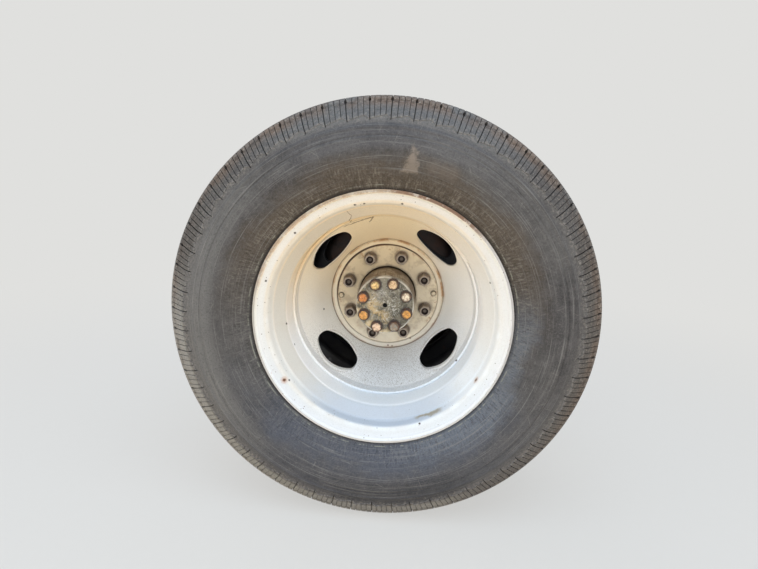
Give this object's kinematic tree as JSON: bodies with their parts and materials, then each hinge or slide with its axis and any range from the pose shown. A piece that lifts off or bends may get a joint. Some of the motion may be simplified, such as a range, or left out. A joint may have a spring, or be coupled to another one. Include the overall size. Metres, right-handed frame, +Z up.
{
  "type": "dual rear wheel and axle end",
  "caption": "Twin tyred steel disc wheels bolted back to back on a full-floating hub with brake drum, turning on the spindle of a rear axle end.",
  "frame": {"origin": "centre of the axle tube's inner end face, where the axle carrier takes it", "axes": "+Y along the axle towards the vehicle's middle, -Y outboard, +Z up, +X to the vehicle's rear"},
  "size_m": [0.7439, 0.9375, 0.744],
  "materials": {
    "tyre": "matt, dusty",
    "wheel_paint": "semi-gloss, dirty",
    "inner_wheel_paint": "satin",
    "valve_rubber": "matt",
    "hub_iron": "rusty",
    "drum_iron": "rusty",
    "stud_steel": "dull",
    "nut_steel": "dull",
    "shaft_steel": "greasy, scratched",
    "bolt_steel": "worn plating",
    "axle_paint": "satin, dusty",
    "plug_rubber": "matt",
    "cylinder_iron": "dull"
  },
  "bodies": {
    "axle_end": {"axle_tube": "axle_paint", "spindle": "axle_paint", "backing_plate": "axle_paint", "inspection_plugs": "plug_rubber", "plate_bolts": "bolt_steel", "wheel_cylinder": "cylinder_iron", "spring_seat": "axle_paint", "shock_bracket": "axle_paint"},
    "wheel": {"outer_tyre": "tyre", "outer_rim": "wheel_paint", "outer_disc": "wheel_paint", "outer_valve_stem": "valve_rubber", "inner_tyre": "tyre", "inner_rim": "inner_wheel_paint", "inner_disc": "inner_wheel_paint", "inner_valve_stem": "valve_rubber", "hub": "hub_iron", "brake_drum": "drum_iron", "wheel_studs": "stud_steel", "lug_nuts": "nut_steel", "locating_pins": "wheel_paint", "axle_shaft": "shaft_steel", "flange_bolts": "bolt_steel"}
  },
  "joints": [
    {"name": "wheel_spin", "type": "hinge", "parent": "axle_end", "child": "wheel", "pos_m": [0, -0.64, 0], "axis": [0, -1, 0], "continuous": true}
  ]
}
